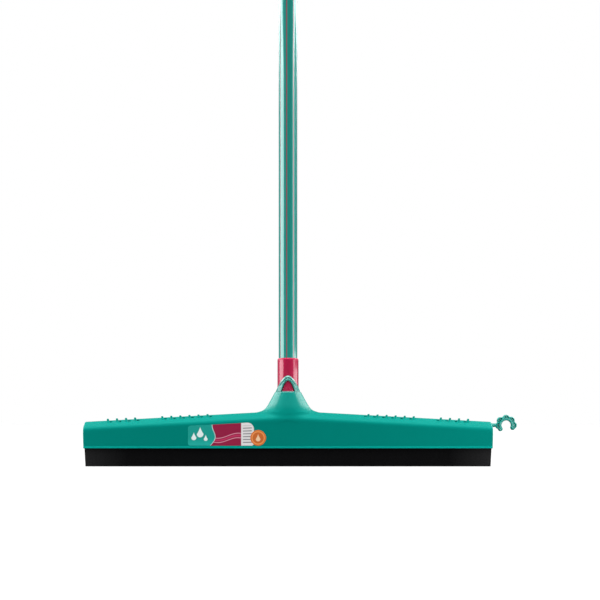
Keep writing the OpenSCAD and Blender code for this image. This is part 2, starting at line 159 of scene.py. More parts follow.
# Meshes
def quads(rows, cols, round_rows=False, round_cols=False):
    """Corner numbers of the faces of a grid of points, which may close on itself either way."""
    r, c = np.meshgrid(np.arange(rows - (not round_rows)), np.arange(cols - (not round_cols)),
                       indexing="ij")
    r1, c1 = (r + 1) % rows, (c + 1) % cols
    return np.stack([r * cols + c, r1 * cols + c, r1 * cols + c1, r * cols + c1], -1).reshape(-1, 4)


def sheet(points, round_rows=False, round_cols=False, keep=None):
    """A grid of points with its faces, less the faces that a mask leaves out."""
    faces = quads(*points.shape[:2], round_rows, round_cols)
    return points.reshape(-1, 3), faces if keep is None else faces[keep.ravel()]


def fan(loop):
    """Faces from a closed loop to its middle."""
    return sheet(np.stack([loop, np.tile(loop.mean(axis=0), (len(loop), 1))]), round_cols=True)


def capped(points, *ends):
    """A grid that closes across, with a fan over each of its loops that a number names."""
    return [sheet(points, round_cols=True), *(fan(points[k]) for k in ends)]


def end_walls(points, first=0):
    """Walls across the first and the last loop of a grid: rungs from each point to its mirror
    point, counted both ways from a first point."""
    half = (points.shape[1] + 1) // 2
    loops = [np.roll(points[k], -first, axis=0) for k in (0, -1)]
    return [sheet(np.stack([loop[:half], loop[::-1][:half]], axis=1)) for loop in loops]


def make_piece(name, sheets, material, body, stands_for=(), crease=34):
    """One mesh out of grids: points that coincide are joined, faces that shrank to nothing go, all
    faces look outwards, and edges that turn by more than the crease stay sharp."""
    starts = np.cumsum([0] + [len(points) for points, _ in sheets])
    points = join([points for points, _ in sheets]) * MM
    faces = join([faces + start for (_, faces), start in zip(sheets, starts)])
    mesh = bpy.data.meshes.new(name)
    mesh.from_pydata(points.tolist(), [], faces.tolist())
    build = bmesh.new()
    build.from_mesh(mesh)
    bmesh.ops.remove_doubles(build, verts=build.verts, dist=2e-6)
    bmesh.ops.dissolve_degenerate(build, edges=build.edges, dist=2e-6)
    bmesh.ops.recalc_face_normals(build, faces=build.faces)
    if build.calc_volume(signed=True) < 0:
        bmesh.ops.reverse_faces(build, faces=build.faces)
    build.to_mesh(mesh)
    build.free()
    mesh.polygons.foreach_set("use_smooth", np.ones(len(mesh.polygons), dtype=bool))
    mesh.set_sharp_from_angle(angle=np.radians(crease))
    mesh.materials.append(material)
    piece = bpy.data.objects.new(name, mesh)
    bpy.context.collection.objects.link(piece)
    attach(piece, body)
    if stands_for:
        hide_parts(*stands_for)
    return piece


def head_piece(name, sheets, node="head_shell", crease=34):
    """A piece of the head's own teal plastic."""
    make_piece(name, sheets, TEAL, "head", [node], crease)


def points_xyz(x, y, z):
    """Points from their three coordinates, each of which may be one number."""
    return np.stack(np.broadcast_arrays(x, y, z), axis=-1).astype(float)


def circle(sides):
    """Even turns round a circle."""
    return np.linspace(0, 2 * np.pi, sides, endpoint=False)


def around(r, turn, z):
    """Points at radii, turns and heights about the handle's axis."""
    return points_xyz(r * np.cos(turn), r * np.sin(turn), z)


def revolve(profile, sides=96):
    """Points of a profile of radii and heights, turned about the handle's axis."""
    return around(profile[:, :1], circle(sides), profile[:, 1:])


def soft_max(a, b, width):
    """The larger of two gaps, rounded off where they differ by less than a width."""
    near = np.maximum(width - np.abs(a - b), 0) / width
    return np.maximum(a, b) + near**2 * width / 4


def soft_min(a, b, width):
    """The smaller of two gaps, rounded off in the same way."""
    return -soft_max(-a, -b, width)


def ease(low, high, value):
    """Smooth step from 0 at low to 1 at high."""
    t = np.clip((value - low) / (high - low), 0, 1)
    return t * t * (3 - 2 * t)


def settle(points, gap, steps=10):
    """Points brought on to the surface where a gap is zero: Newton steps along its slope, which is
    measured by small differences."""
    for _ in range(steps):
        level = gap(*np.moveaxis(points, -1, 0))
        slope = np.stack([gap(*np.moveaxis(points + SMALL * axis, -1, 0)) - level
                          for axis in np.eye(points.shape[-1])], axis=-1) / SMALL
        points = points - (level / (slope**2).sum(-1))[..., None] * slope
    return points


def rounded(corners, radii, closed=True, steps=6):
    """Outline through flat corners, each turned into an arc that touches both its sides."""
    corners = np.array(corners, dtype=float)
    before, after = np.roll(corners, 1, axis=0) - corners, np.roll(corners, -1, axis=0) - corners
    outline = []
    for k, (corner, b, a, r) in enumerate(zip(corners, before, after, radii)):
        if r == 0 or (not closed and k in (0, len(corners) - 1)):
            outline.append(corner[None])
            continue
        b, a = b / np.linalg.norm(b), a / np.linalg.norm(a)
        half = np.arccos(np.clip(b @ a, -1, 1)) / 2
        middle = corner + (a + b) / np.linalg.norm(a + b) * r / np.sin(half)
        start, end = corner + b * r / np.tan(half), corner + a * r / np.tan(half)
        t = np.linspace(0, 1, steps)[:, None]
        spread = np.arccos(np.clip((start - middle) @ (end - middle) / r**2, -1, 1))
        outline.append(middle + (np.sin((1 - t) * spread) * (start - middle)
                                 + np.sin(t * spread) * (end - middle)) / np.sin(spread))
    return join(outline)


# Materials
TEAL_GLINT = (0.05, 1, 0.93, 1)
STRIPE_TURN = np.radians(8.3)


def fill(node, sockets):
    """Each socket named gets a link or a plain value."""
    for key, value in sockets.items():
        if isinstance(value, bpy.types.NodeSocket):
            node.id_data.links.new(value, node.inputs[key])
        else:
            node.inputs[key].default_value = value


def put(tree, kind, sockets=None, **settings):
    """Outputs of a new node, which gets its settings and its sockets."""
    node = tree.nodes.new(kind)
    for name, value in settings.items():
        setattr(node, name, value)
    fill(node, sockets or {})
    return node.outputs


def grow(kind, sockets, **settings):
    """Outputs of a new node in the same tree as the links that it takes."""
    links = (value for value in sockets.values() if isinstance(value, bpy.types.NodeSocket))
    return put(next(links).id_data, kind, sockets, **settings)


def calc(operation, *values):
    """Result of a sum on links or numbers."""
    return grow("ShaderNodeMath", dict(enumerate(values)), operation=operation)[0]


def blend(share, first, second, kind="MIX"):
    """Colour between two colours, by a share."""
    return grow("ShaderNodeMix", {0: share, 6: first, 7: second}, data_type="RGBA",
                blend_type=kind)[2]


def span(value, low, high, to_low=0.0, to_high=1.0):
    """A value's range carried over to another range, clamped."""
    return grow("ShaderNodeMapRange", {0: value, 1: low, 2: high, 3: to_low, 4: to_high})[0]


def noise(place, scale, detail=2.0, roughness=0.5):
    """Cloudy noise at a place, with its scale in features a metre."""
    return grow("ShaderNodeTexNoise", {"Vector": place, "Scale": scale, "Detail": detail,
                                       "Roughness": roughness})["Fac"]


def bump(height, strength, distance):
    """Normal tilted by a height."""
    return grow("ShaderNodeBump", {"Height": height, "Strength": strength,
                                   "Distance": distance})[0]


def axes(tree, kind="Object"):
    """The three parts of a texture coordinate."""
    return grow("ShaderNodeSeparateXYZ", {0: put(tree, "ShaderNodeTexCoord")[kind]})


def new_group(name, takes, gives):
    """An empty shader group with named inputs and outputs, what it is given, and its object
    coordinates. The sockets are numbers, but for those called Color."""
    group = bpy.data.node_groups.new(name, "ShaderNodeTree")
    for way, sockets in (("INPUT", takes), ("OUTPUT", gives)):
        for socket in sockets:
            kind = "NodeSocketColor" if socket == "Color" else "NodeSocketFloat"
            group.interface.new_socket(socket, in_out=way, socket_type=kind)
    return group, put(group, "NodeGroupInput"), put(group, "ShaderNodeTexCoord")["Object"]


def linear(red, green, blue):
    """Colour as light from a colour as seen on a screen, in 0 to 255."""
    c = np.array([red, green, blue]) / 255
    return (*np.where(c <= 0.04045, c / 12.92, ((c + 0.055) / 1.055) ** 2.4), 1.0)


def material(name):
    """An empty material, its tree and its Principled shader."""
    made = bpy.data.materials.new(name)
    made.use_nodes = True
    return made, made.node_tree, made.node_tree.nodes["Principled BSDF"]


def moulded_skin():
    """Group for moulded plastic: the tint drifts a little over the piece, flow clouds change the
    gloss, and a fine spark-eroded grain gives the height."""
    group, given, place = new_group("moulded_skin", ("Color", "Gloss", "Drift", "Grain"),
                                    ("Color", "Roughness", "Height"))
    clouds, flow = noise(place, 22.0, 3.0), noise(place, 140.0, 4.0, 0.6)
    shift = calc("MULTIPLY", calc("SUBTRACT", clouds, 0.5), given["Drift"])
    tint = grow("ShaderNodeHueSaturation",
                {"Color": given["Color"], "Value": calc("ADD", 1.0, shift)})[0]
    rough = calc("ADD", given["Gloss"], calc("MULTIPLY", calc("SUBTRACT", flow, 0.5), 0.12))
    put(group, "NodeGroupOutput", {"Color": tint, "Roughness": rough,
                                   "Height": noise(place, given["Grain"], 2.0)})
    return group


def drawn_streaks():
    """Group for drawn surfaces: noise drawn out along the handle, whose height counts for a share
    only."""
    group, given, place = new_group("drawn_streaks", ("Share", "Scale", "Detail"), ("Streak",))
    flat = grow("ShaderNodeCombineXYZ", {0: 1.0, 1: 1.0, 2: given["Share"]})[0]
    drawn = grow("ShaderNodeMapping", {"Vector": place, "Scale": flat})[0]
    put(group, "NodeGroupOutput", {"Streak": noise(drawn, given["Scale"], given["Detail"])})
    return group


def moulded(name, colour, gloss, drift, grain, strength, specular, glint=(1, 1, 1, 1)):
    """Moulded plastic: the shared skin with its own colour, gloss and grain."""
    made, tree, shader = material(name)
    skin = put(tree, "ShaderNodeGroup", {"Color": colour, "Gloss": gloss, "Drift": drift,
                                         "Grain": grain}, node_tree=SKIN)
    fill(shader, {
        "Base Color": skin["Color"], "Roughness": skin["Roughness"],
        "Normal": bump(skin["Height"], strength, 0.00004),
        "Specular IOR Level": specular, "Specular Tint": glint})
    return made, tree, shader


def teal_plastic():
    """Satin teal of the head. The neck and hood above it and the hook beyond it have a polish, the
    hood most. A painted highlight makes them paler, and the bead and the hook more so."""
    made, tree, shader = moulded("teal_plastic", linear(0, 124, 113), 0.5, 0.10, 1500.0, 0.24, 0.14,
                                 TEAL_GLINT)
    part = axes(tree)
    hook = span(calc("ABSOLUTE", part["X"]), (HALF_LENGTH - 1.0) * MM, (HALF_LENGTH + 1.0) * MM)
    neck = span(part["Z"], (CROWN_Z + 0.6) * MM, (CROWN_Z + 6.6) * MM)
    hood = span(part["Z"], (NECK_Z - 0.6) * MM, (NECK_Z + 1.4) * MM, 0.0, 0.46)
    bead = span(part["Z"], (SKIRT_Z + 2.9) * MM, (SKIRT_Z + 1.7) * MM)
    polished = calc("MAXIMUM", neck, hook)
    # painted highlight: the neck, hood and hook are paler, the bead and hook more
    painted_highlight = calc("MAXIMUM", calc("MULTIPLY", calc("MAXIMUM", bead, hook), 0.6),
                 calc("MULTIPLY", polished, 0.35))
    tone = shader.inputs["Base Color"].links[0].from_socket
    fill(shader, {
        "Base Color": blend(painted_highlight, tone, linear(0, 148, 136)),
        "Coat Weight": calc("ADD", calc("MULTIPLY", polished, 0.37), hood),
        "Coat IOR": 1.8, "Coat Roughness": 0.24})
    return made


def pink_plastic():
    """Pink of the socket and the cap under a clear polish, which ends at the rim of the socket's
    mouth: that is left dull from the mould."""
    made, tree, shader = moulded("pink_plastic", linear(168, 6, 60), 0.45, 0.08, 1700.0, 0.10, 0.8,
                                 (1, 0.03, 0.2, 1))
    off = calc("ABSOLUTE", calc("SUBTRACT", axes(tree)["Z"], SLEEVE_Z * MM))
    fill(shader, {"Coat Weight": span(off, 1.2 * MM, 2.4 * MM, 0.1, 1.0),
                  "Coat IOR": 1.7, "Coat Roughness": 0.11})
    return made


def foam_material():
    """Black closed-cell foam: pores from cell edges at two scales, grey speckle where the skin of a
    pore catches light, a dull surface, and a painted light that makes the ends a little paler."""
    made, tree, shader = material("black_foam")
    place = put(tree, "ShaderNodeTexCoord")["Object"]
    pores = grow("ShaderNodeTexVoronoi", {"Vector": place, "Scale": 900.0},
                 feature="F1")["Distance"]
    fine = noise(place, 2600.0, 3.0, 0.7)
    patch = noise(place, 60.0, 2.0)
    speckle = span(fine, 0.52, 0.75)
    out = calc("ABSOLUTE", axes(tree)["X"])
    # painted light: the foam grows paler towards both ends
    painted_end_light = span(out, (HALF_LENGTH - 45.0) * MM, (HALF_LENGTH + 2.0) * MM, 0.0, 0.8)
    base = blend(painted_end_light, blend(patch, linear(4, 4, 5), linear(7, 7, 8)), linear(40, 40, 41))
    height = calc("ADD", pores, calc("MULTIPLY", fine, 0.7))
    fill(shader, {
        "Base Color": blend(calc("MULTIPLY", speckle, 0.5), base, linear(24, 24, 25)),
        "Roughness": span(fine, 0.3, 0.7, 0.8, 0.97),
        "Normal": bump(height, 0.6, 0.0004), "Specular IOR Level": 0.06})
    return made


def film_material():
    """Printed film: teal with eight fine lengthwise pink lines at even turns about the handle, and
    a clear gloss over slight drawing marks."""
    made, tree, shader = material("striped_film")
    part = axes(tree)
    turn = calc("ARCTAN2", part["X"], calc("MULTIPLY", part["Y"], -1.0))
    eighth = calc("DIVIDE", calc("ADD", turn, STRIPE_TURN + 2 * np.pi), np.pi / 4)
    off = calc("ABSOLUTE", calc("SUBTRACT", calc("FRACT", calc("ADD", eighth, 0.5)), 0.5))
    line = span(off, 0.050, 0.064, 1.0, 0.0)
    marks = put(tree, "ShaderNodeGroup", {"Share": 0.02, "Scale": 900.0, "Detail": 2.0},
                node_tree=STREAKS)[0]
    ground = blend(marks, linear(0, 128, 117), linear(0, 134, 122))
    fill(shader, {
        "Base Color": blend(line, ground, linear(158, 24, 70)),
        "Roughness": span(marks, 0.2, 0.8, 0.36, 0.44),
        "Normal": bump(marks, 0.08, 0.00005),
        "Specular IOR Level": 0.7, "Specular Tint": TEAL_GLINT,
        "Coat Weight": 1.0, "Coat IOR": 1.9, "Coat Roughness": 0.1})
    return made


def steel_material():
    """Drawn steel: fine lengthwise streaks in tone and gloss."""
    made, tree, shader = material("drawn_steel")
    streak = put(tree, "ShaderNodeGroup", {"Share": 0.01, "Scale": 2200.0, "Detail": 3.0},
                 node_tree=STREAKS)[0]
    fill(shader, {
        "Base Color": blend(streak, linear(176, 178, 180), linear(206, 207, 209)),
        "Roughness": span(streak, 0.2, 0.8, 0.26, 0.42),
        "Normal": bump(streak, 0.1, 0.00003), "Metallic": 1.0})
    return made


def print_material():
    """Printed sticker: the colours painted on the mesh, with a slight paper tooth under a gloss."""
    made, tree, shader = material("sticker_print")
    place = put(tree, "ShaderNodeTexCoord")["Object"]
    colours = put(tree, "ShaderNodeAttribute", attribute_name="print")["Color"]
    tooth = noise(place, 1800.0, 3.0)
    grey = grow("ShaderNodeCombineColor", {0: tooth, 1: tooth, 2: tooth})[0]
    fill(shader, {
        "Base Color": blend(0.06, colours, grey, "OVERLAY"),
        "Roughness": span(tooth, 0.2, 0.8, 0.3, 0.42),
        "Normal": bump(tooth, 0.1, 0.00003), "Specular IOR Level": 0.35})
    return made


SKIN, STREAKS = moulded_skin(), drawn_streaks()
TEAL = teal_plastic()
PINK = pink_plastic()
BLACK = moulded("black_plastic", linear(44, 44, 46), 0.42, 0.15, 1500.0, 0.3, 0.4)[0]
FOAM = foam_material()
FILM = film_material()
STEEL = steel_material()
PRINT = print_material()


# Head
def crown(x):
    """Height of the ridge: it falls evenly to both ends, and its fold in the middle is rounded."""
    return CROWN_Z - CROWN_FALL * np.hypot(x, RIDGE_EASE)


def section_gap(y, drop):
    """Gap to the head's cross-section, drop being the height over the ridge: a flat crown, a sloped
    shoulder and an upright face, joined by soft maxima."""
    y = np.abs(y)
    slope = np.cos(SHOULDER_TURN) * (y - CROWN_HALF) + np.sin(SHOULDER_TURN) * drop
    return soft_max(soft_max(drop, slope, CROWN_SOFT), y - HALF_DEPTH, SHOULDER_SOFT)


def neck_side(z):
    """Half width of the neck: a straight flare with a bell foot."""
    return NECK_R + FLARE_SIDE * (NECK_Z - z) + BELL_W * np.exp(
        (CROWN_Z - np.maximum(z, BELL_STOP)) / BELL_H)


def neck_front(z):
    """Half depth of the neck: a straight flare that stops short of the face."""
    return soft_min(NECK_R + FLARE_FRONT * (NECK_Z - z), FRONT_LIMIT, FRONT_SOFT)


def neck_gap(x, y, z):
    """Gap to the elliptical neck: how far a point is out in its ellipse, over the slope of that."""
    a, b = neck_side(z), neck_front(z)
    out = np.maximum(np.hypot(x / a, y / b), 1e-6)
    return (out - 1) * out / np.maximum(np.hypot(x / a**2, y / b**2), 1e-9)


def skin_gap(x, y, z):
    """Gap to the head with its neck: the smaller gap, with a fillet that grows from the front to
    the sides, and the neck fades out down the face."""
    fade = FADE_SLOPE * (FADE_Z - z)
    fillet = NECK_BLEND[0] + (NECK_BLEND[1] - NECK_BLEND[0]) * np.abs(x) / np.hypot(x, y + 1e-9)
    return soft_min(section_gap(y, z - crown(x)), np.maximum(neck_gap(x, y, z), fade), fillet)


def head_rows():
    """Rows of the head's skin, from the front's lower lip over the ridge to the rear's: one half
    from the ridge down, and its mirror image. Each row has its distance from the middle plane, its
    height as a share of the ridge's height plus a drop, the direction that it shrinks in at the
    ends, how far it stands proud, and its run down the skin from the ridge."""
    slot_in, slot_out = TOOTH_ROW - SLOT_W / 2, TOOTH_ROW + SLOT_W / 2
    roof = np.array([0, 1.5, 3, 4.5, 5.8, 6.8, 7.6, 8.3, 9, 9.7, slot_in, slot_out, 13.5, 15,
                     16.5, 17.6, 18.4, 19.1, 19.6])
    fall = np.minimum(0, (CROWN_HALF - roof) / np.tan(SHOULDER_TURN))
    face = np.array([-6.6, -7.2, -7.8, -8.4, -9.2, -10.2, -11.3, PATCH_DROP, FACE_TOP])
    upper = settle(join([np.stack([roof, fall], 1),
                         np.stack([np.full(len(face), HALF_DEPTH), face], 1)]),
                   section_gap)
    lean = np.stack([section_gap(upper[:, 0] + SMALL, upper[:, 1]),
                     section_gap(upper[:, 0], upper[:, 1] + SMALL)], 1)
    lean[0, 0] = 0
    lean /= np.linalg.norm(lean, axis=1, keepdims=True)
    share = np.array([0.2, 0.4, 0.6, 0.8, 1.0])
    lip = np.array([[0.0, 1.95], [0.02, 1.85], [0.08, 1.72], [0.31, 1.18], [0.37, 1.02],
                    [BEAD_PROUD, 0.86], [BEAD_PROUD, 0.4], [0.34, 0.2], [0.2, 0.05], [0, 0],
                    [-0.9, 0], [-1.55, 0.02], [-WALL, 0.25], [-WALL, 4]])
    wall, none, lower = np.ones(len(share)), np.zeros(len(lip)), np.ones(len(share) + len(lip))
    half = {
        "across": [upper[:, 0], HALF_DEPTH * wall, HALF_DEPTH + lip[:, 0]],
        "drop": [upper[:, 1], FACE_TOP * wall, none],
        "follow": [np.ones(len(upper)), 1 - share, none],
        "level": [np.zeros(len(upper)), FACE_FOOT * wall, SKIRT_Z + lip[:, 1]],
        "out": [lean[:, 0], lower],
        "up": [lean[:, 1], 0 * lower],
        "proud": [np.zeros(len(upper)), 0 * wall, lip[:, 0]],
        "run": [[0], np.cumsum(np.hypot(*np.diff(upper, axis=0).T)), OFF_SKIN * lower],
    }
    rows = {name: join(stretches) for name, stretches in half.items()}
    turned = ("across", "out", "run")
    return {name: join([row[:0:-1] * (-1 if name in turned else 1), row])
            for name, row in rows.items()}


def head_stations():
    """Places along the head and their turn round the upright corners: even steps, the edges of the
    slots with no step inside a slot, and the turn at both ends."""
    even = np.arange(-207, 207.1, 1.5)
    slot_ends = join([tooth_x - TOOTH_FOOT / 2 - SLOT_L, tooth_x - TOOTH_FOOT / 2])
    free = (np.abs(np.abs(even)[:, None] - slot_x) > SLOT_L / 2 + 0.35).all(axis=1)
    corner = HALF_LENGTH - CORNER
    flat = np.unique(join([even[free], slot_ends, -slot_ends, [-corner, corner]]))
    turn = np.linspace(0, QUARTER, 9)[1:]
    edge = np.full(len(turn), corner)
    return join([-edge, flat, edge]), join([turn[::-1], np.zeros(len(flat)), turn])


def head_strip(rows, place, turn):
    """The head's skin as a strip: each row's place in the section, drawn along the head, and at
    the ends turned inwards on the radius of the upright corner, where the bead runs out and the end
    wall leans out to the crown. Faint sink marks show the ribs."""
    reach = CORNER + rows["proud"]
    beyond = CORNER + np.minimum(rows["proud"], 0) + BEAD_PROUD * rows["follow"]
    x = place[:, None] + np.sign(place)[:, None] * beyond * np.sin(turn)[:, None]
    inward = reach * (1 - np.cos(turn))[:, None]
    sink = SINK_DEEP * np.exp(-((np.abs(x)[..., None] - rib_x) / SINK_WIDE) ** 2).sum(-1)
    sink = sink * (np.abs(rows["out"]) > 0.9) * (rows["proud"] == 0)
    y = rows["across"] - (inward + sink) * rows["out"]
    z = (rows["follow"] * (crown(x) + rows["drop"]) + (1 - rows["follow"]) * rows["level"]
         - inward * rows["up"])
    return points_xyz(x, y, z)


def neck_patch(rows, strip, first, last, low, high):
    """The neck on the head: rays from the rim of a block of the strip, drawn in on the unrolled
    skin to the foot of the flare, up the flare, over the ring that the hood stands on and down
    into the bore. The foot's height is found by halving. All but the ring are settled on the skin,
    so the foot is one smooth fillet."""
    rim = join([strip[first:last, low], strip[last, low:high],
                strip[last:first:-1, high], strip[first, high:low:-1]])
    run = join([np.full(last - first, rows["run"][low]), rows["run"][low:high],
                np.full(last - first, rows["run"][high]), rows["run"][high:low:-1]])
    angle = np.arctan2(run / rows["run"][high], rim[:, 0] / PATCH_X)
    cos, sin = np.cos(angle), np.sin(angle)

    foot_z, above = np.full(len(angle), CROWN_Z - 13), np.full(len(angle), NECK_Z)
    for _ in range(40):
        middle = (foot_z + above) / 2
        inside = section_gap(neck_front(middle) * sin,
                             middle - crown(neck_side(middle) * cos)) < 0
        foot_z, above = np.where(inside, middle, foot_z), np.where(inside, above, middle)

    known = np.abs(rows["run"]) < OFF_SKIN
    fine_run = np.linspace(-40, 40, 4001)
    fine_run = fine_run[np.abs(fine_run) <= rows["run"][high]]
    fine_y = np.interp(fine_run, rows["run"][known], rows["across"][known])
    fine_drop = np.interp(fine_run, rows["run"][known], rows["drop"][known])
    foot_x, foot_y = neck_side(foot_z) * cos, neck_front(foot_z) * sin
    foot_run = fine_run[np.argmin((foot_y[:, None] - fine_y) ** 2
                                  + ((foot_z - crown(foot_x))[:, None] - fine_drop) ** 2, axis=1)]

    top = SILL_Z - NECK_Z
    lip = np.array([[BORE_R, -8], [BORE_R, top - 0.4], [BORE_R + 0.1, top - 0.12],
                    [BORE_R + 0.4, top], [HOOD_R - 0.85, top], [HOOD_R - 0.42, top - 0.12],
                    [HOOD_R - 0.12, top - 0.42], [HOOD_R, top - 0.8], [HOOD_R, 0.08],
                    [HOOD_R + 0.05, 0.02], [NECK_R - 0.04, -0.03], [NECK_R + 0.02, -0.1]])
    collar = around(lip[:, :1], angle, NECK_Z + lip[:, 1:])
    share = np.linspace(0, 1, 20)[:, None] ** 0.9
    z = NECK_Z - 0.4 + (foot_z - NECK_Z + 0.4) * share * 0.98
    flare = settle(points_xyz(neck_side(z) * cos, neck_front(z) * sin, z), skin_gap)
    out = np.linspace(0, 1, 14)[1:-1, None] ** 1.25
    x = foot_x + (rim[:, 0] - foot_x) * out
    along = foot_run + (run - foot_run) * out
    apron = settle(points_xyz(x, np.interp(along, fine_run, fine_y),
                              crown(x) + np.interp(along, fine_run, fine_drop)), skin_gap)
    return sheet(join([collar, flare, apron, rim[None]]), round_cols=True)


def slot_pockets(strip, columns, rows_in):
    """Walls and floor of the slots beside the teeth: each missing face of the strip, let down."""
    sheets = []
    for row in rows_in:
        top = np.stack([strip[columns, row], strip[columns + 1, row],
                        strip[columns + 1, row + 1], strip[columns, row + 1]], axis=1)
        floor = top - np.array([0, 0, SLOT_DEEP])
        for ring, bottom in zip(top, floor):
            sheets.append(sheet(np.stack([ring, bottom]), round_cols=True))
            sheets.append(sheet(bottom[[0, 1, 3, 2]].reshape(2, 2, 3)))
    return sheets


def build_head():
    """The moulding's outer skin: the strip with its two ends, the slots and the neck."""
    rows = head_rows()
    place, turn = head_stations()
    strip = head_strip(rows, place, turn)
    first, last = np.searchsorted(place, [-PATCH_X, PATCH_X])
    ridge = len(rows["run"]) // 2
    high = ridge + np.argmin(np.abs(rows["drop"][ridge:] - PATCH_DROP))
    low = 2 * ridge - high
    keep = np.ones((strip.shape[0] - 1, strip.shape[1] - 1), dtype=bool)
    keep[first:last, low:high] = False
    middle_x = np.abs(place[:-1] + place[1:]) / 2
    flat = (turn[:-1] == 0) & (turn[1:] == 0)
    columns = np.flatnonzero(flat & (np.abs(middle_x[:, None] - slot_x) < 0.3).any(axis=1))
    middle_y = (rows["across"][:-1] + rows["across"][1:]) / 2
    wide = np.diff(rows["across"]) > SLOT_W - 0.1
    rows_in = np.flatnonzero((np.abs(middle_y + TOOTH_ROW) < 0.01) & wide)
    keep[np.ix_(columns, rows_in)] = False
    head_piece("head_skin", [sheet(strip, keep=keep), *end_walls(strip),
                             neck_patch(rows, strip, first, last, low, high),
                             *slot_pockets(strip, columns, rows_in)])


def hood_strip(side):
    """One tongue of the hood: a closed section carried along the band between the window's arch and
    the tongue's arch, which are powers of the share u of the half width. The band is bent on the
    cylinder of the hood, leans in to its tip, has a shallow recess between a rim at either edge,
    and its two ends are let into the ring below."""
    u = join([[-1], np.linspace(-1, 1, 121), [1]])[:, None]
    window_x = WINDOW_HALF * u
    window_z = SILL_Z + WINDOW_H * (1 - np.abs(u) ** WINDOW_CURVE)
    tongue_z = TONGUE_FOOT + (TONGUE_Z - TONGUE_FOOT) * (1 - np.abs(u) ** TONGUE_CURVE)
    window_z[[0, -1]] = tongue_z[[0, -1]] = SILL_Z - SUNK
    inner_r = BORE_R + 0.05
    thick = HOOD_R - inner_r
    width = np.hypot(HOOD_R * u - window_x, tongue_z - window_z).clip(4.0, None)
    t = np.linspace(0, 1, 4)
    face = np.linspace(0, 1, 25)[1:-1]
    start = np.zeros_like(width)
    across = join([
        start + WINDOW_EDGE * t, WINDOW_EDGE + (width - WINDOW_EDGE - HOOD_EDGE) * face,
        width - HOOD_EDGE * (1 - t), width - BACK_EDGE * t,
        BACK_EDGE + (width - 2 * BACK_EDGE) * face[::-4], start + BACK_EDGE * (1 - t)], axis=1)
    depth = join([
        WINDOW_EDGE * (1 - t), np.zeros(len(face)), HOOD_EDGE * t, thick - BACK_EDGE * (1 - t),
        np.full(len(face[::-4]), thick), thick - BACK_EDGE * t])
    p, q = across / width, (depth / thick)[None, :, None]
    z = window_z + (tongue_z - window_z) * p
    recess = (RECESS * ease(*RECESS_IN, across) * ease(*RECESS_OUT, width - across)
              * ease(*(TONGUE_FOOT + RECESS_RISE), z))
    lean = TONGUE_LEAN * np.maximum(z - TONGUE_FOOT, 0) / (TONGUE_Z - TONGUE_FOOT)
    layers = []
    for radius, sink in ((HOOD_R, lean + recess), (inner_r, 0)):
        x = window_x + (radius * u - window_x) * p
        turn = np.arcsin(np.clip(x / radius, -1, 1))
        r = radius - sink
        layers.append(points_xyz(r * np.sin(turn), -r * np.cos(turn), z))
    points = (layers[0] + (layers[1] - layers[0]) * q) * [-side, -side, 1]
    return capped(points, 0, -1)


def build_hood():
    """The hood's two tongues, front and rear."""
    for name, side in (("front_tongue", 1), ("rear_tongue", -1)):
        head_piece(name, hood_strip(side))


def build_teeth():
    """Cloth teeth: rounded sections stacked up a leaning line, from a widened foot in the front
    shoulder to a rounded tip, in a row on both halves of the head."""
    root = (CROWN_HALF - TOOTH_ROW) / np.tan(SHOULDER_TURN) - TOOTH_ROOT
    dome = 1 - TOOTH_DOME
    h = join([np.linspace(0, TOOTH_DOME, 12),
              TOOTH_DOME + dome * np.sin(np.linspace(0.15, 1, 7) * QUARTER)])[:, None]
    tip = np.sqrt(1 - np.clip((h - TOOTH_DOME) / dome, 0, 1) ** 2)
    swell = TOOTH_SWELL * np.exp(-np.maximum(h - TOOTH_HEEL, 0) / 0.07)
    half_x = ((TOOTH_FOOT + (TOOTH_TIP - TOOTH_FOOT) * h**0.8) / 2 + swell) * tip
    half_y = (TOOTH_T / 2 * (1 - 0.4 * h) + swell) * tip
    turn = circle(20)
    square = 2 / 2.8
    x = TOOTH_LEAN * h**1.2 + half_x * np.sign(np.cos(turn)) * np.abs(np.cos(turn)) ** square
    y = 0.8 * h + half_y * np.sign(np.sin(turn)) * np.abs(np.sin(turn)) ** square
    sheets = []
    for spot, top in zip(tooth_x, tooth_top):
        tooth = points_xyz(spot + x, y - TOOTH_ROW, crown(spot) + root + (top - root) * h)
        for side in (-1, 1):
            sheets += capped(tooth * [side, 1, 1], 0)
    head_piece("cloth_teeth", sheets, crease=50)


def build_inside():
    """What shows from below between the blades: the channel of the two partitions under the crown,
    and the cross ribs, each a thin wall with a rounded lower edge."""
    end = HALF_LENGTH - WALL
    x = np.arange(-end, end + 0.1, end / 140)
    outer, inner, lower = blade_low[1] - BLADE_GAP, blade_low[1] - RIB_T, SKIRT_Z + 3
    half = np.array([[0, 1, -WALL], [inner - 0.6, 1, -WALL], [inner, 1, -WALL - 0.6],
                     [inner, 0, lower + 0.35], [inner + 0.35, 0, lower], [outer - 0.35, 0, lower],
                     [outer, 0, lower + 0.35], [outer, 0, lower + 9]])
    rows = join([half[:0:-1] * [-1, 1, 1], half])
    y, follow, level = rows.T
    channel = points_xyz(x[:, None], y, follow * crown(x)[:, None] + level)
    edge = rounded([[-RIB_T / 2, 40], [-RIB_T / 2, 0], [RIB_T / 2, 0], [RIB_T / 2, 40]],
                   [0, 0.4, 0.4, 0], closed=False)
    ribs = []
    for spot in join([-rib_x[::-1], rib_x]):
        top = np.minimum(SKIRT_Z + 6 + edge[:, 1], crown(spot) - WALL)
        ribs.append(sheet(points_xyz((spot + edge[:, 0])[:, None], np.array([-inner, inner]),
                                     top[:, None])))
    head_piece("head_ribs", [sheet(channel), *ribs])


